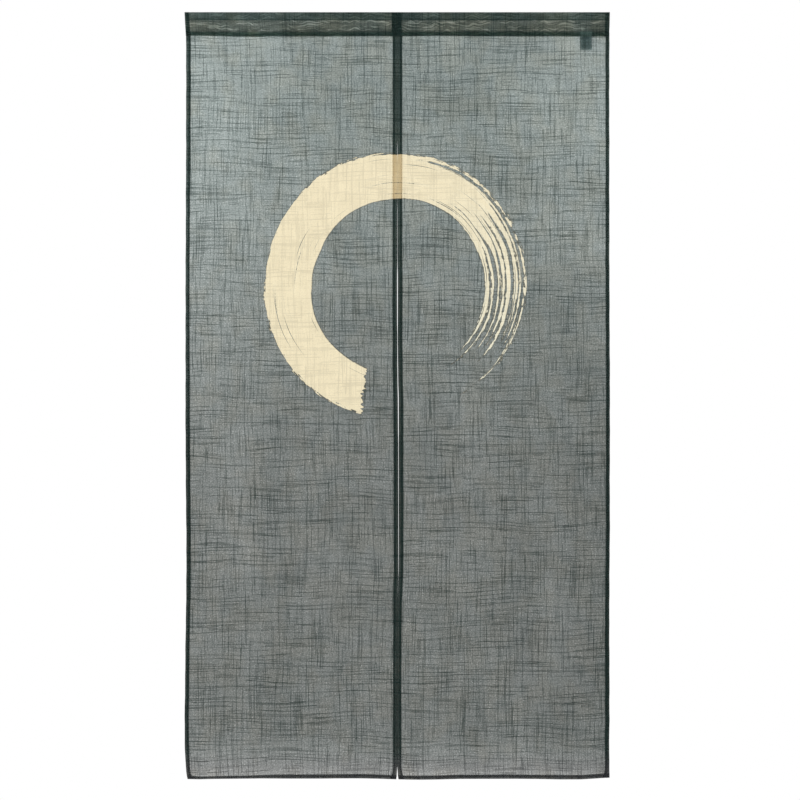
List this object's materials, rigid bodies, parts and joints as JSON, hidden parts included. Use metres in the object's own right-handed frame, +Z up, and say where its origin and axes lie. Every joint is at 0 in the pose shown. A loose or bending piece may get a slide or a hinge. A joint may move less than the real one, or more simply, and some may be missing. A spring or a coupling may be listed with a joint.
{
  "type": "noren curtain",
  "caption": "Sheer doorway curtain of slub cloth: hemmed panels sewn together at the top, slit below, hung by an open rod pocket and printed with a brushed ring.",
  "frame": {"origin": "middle of the curtain's top edge, in the middle of its thickness", "axes": "+Z up along the hanging cloth, -Y out of the printed face towards the viewer, +X to the viewer's right"},
  "size_m": [0.8326, 0.0169, 1.5008],
  "materials": {
    "cloth": "sheer dark green-grey slub cloth, matt",
    "heading_cloth": "the same cloth in several layers, matt",
    "label_tape": "pale woven tape, blank",
    "print": "cream pigment print, matt",
    "thread": "dark sewing thread"
  },
  "bodies": {
    "root": {"heading": "heading_cloth", "panel_left": "cloth", "panel_right": "cloth", "label": "label_tape"}
  },
  "joints": []
}
